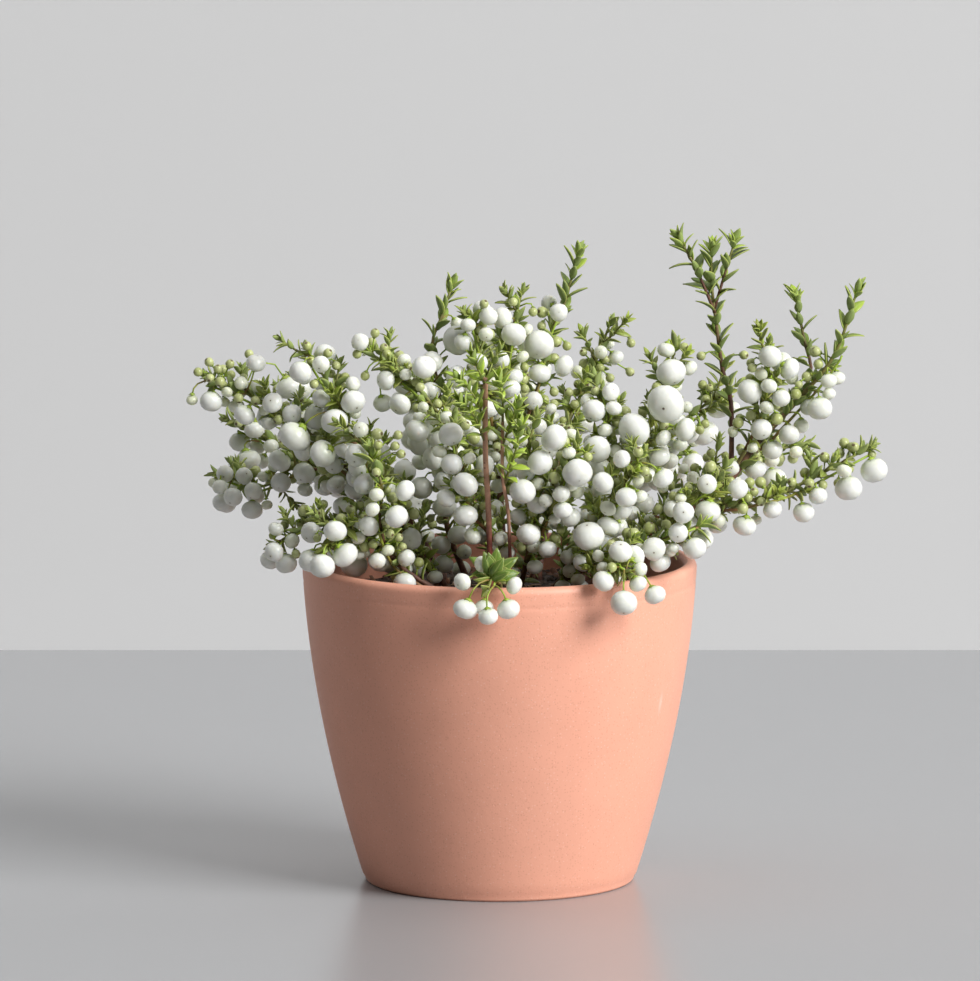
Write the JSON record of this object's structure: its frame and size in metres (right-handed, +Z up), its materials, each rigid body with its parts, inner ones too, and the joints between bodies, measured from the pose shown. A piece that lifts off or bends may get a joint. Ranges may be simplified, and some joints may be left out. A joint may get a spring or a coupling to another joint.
{
  "type": "potted prickly heath",
  "caption": "Low evergreen shrub with small pointed leaves and round white berries along its upright and spreading twigs, growing in a plain tapered terracotta pot filled with soil.",
  "frame": {"origin": "middle of the pot's flat foot, on the surface it stands on", "axes": "+Z up through the pot; -Y towards the side the picture shows; +X to the right in the picture"},
  "size_m": [0.2425, 0.1811, 0.2348],
  "materials": {
    "terracotta": "matte",
    "potting_soil": "matte",
    "foliage": "satin",
    "bare_stalk": "matte",
    "berry": "satin"
  },
  "bodies": {
    "root": {"pot": "terracotta", "potting_soil": "potting_soil", "arching_left": "foliage", "back": "foliage", "back_high": "foliage", "back_left": "foliage", "back_right": "foliage", "centre": "foliage", "centre_front": "foliage", "front_left_twig": "foliage", "front_rim": "foliage", "left_back": "foliage", "left_front": "foliage", "left_high": "foliage", "left_mid": "foliage", "right_back": "foliage", "right_low": "foliage", "right_mid": "foliage", "right_rim": "foliage", "right_woody": "foliage", "cut_stalk": "bare_stalk", "thin_stalk": "bare_stalk", "berries_arching_left": "berry", "berries_back": "berry", "berries_back_high": "berry", "berries_back_left": "berry", "berries_back_left_low": "berry", "berries_back_middle": "berry", "berries_back_right": "berry", "berries_back_right_low": "berry", "berries_back_rise": "berry", "berries_centre": "berry", "berries_centre_front": "berry", "berries_centre_front_left": "berry", "berries_centre_front_right": "berry", "berries_centre_left": "berry", "berries_front_left_twig": "berry", "berries_front_rim": "berry", "berries_left_back": "berry", "berries_left_front": "berry", "berries_left_high": "berry", "berries_left_mid": "berry", "berries_left_rim": "berry", "berries_left_shade": "berry", "berries_left_sprig": "berry", "berries_right_back": "berry", "berries_right_brown": "berry", "berries_right_edge": "berry", "berries_right_front": "berry", "berries_right_high": "berry", "berries_right_inner": "berry", "berries_right_low": "berry", "berries_right_mid": "berry", "berries_right_rim": "berry", "berries_right_woody": "berry", "berries_upright_centre": "berry", "berries_upright_left": "berry"}
  },
  "joints": []
}
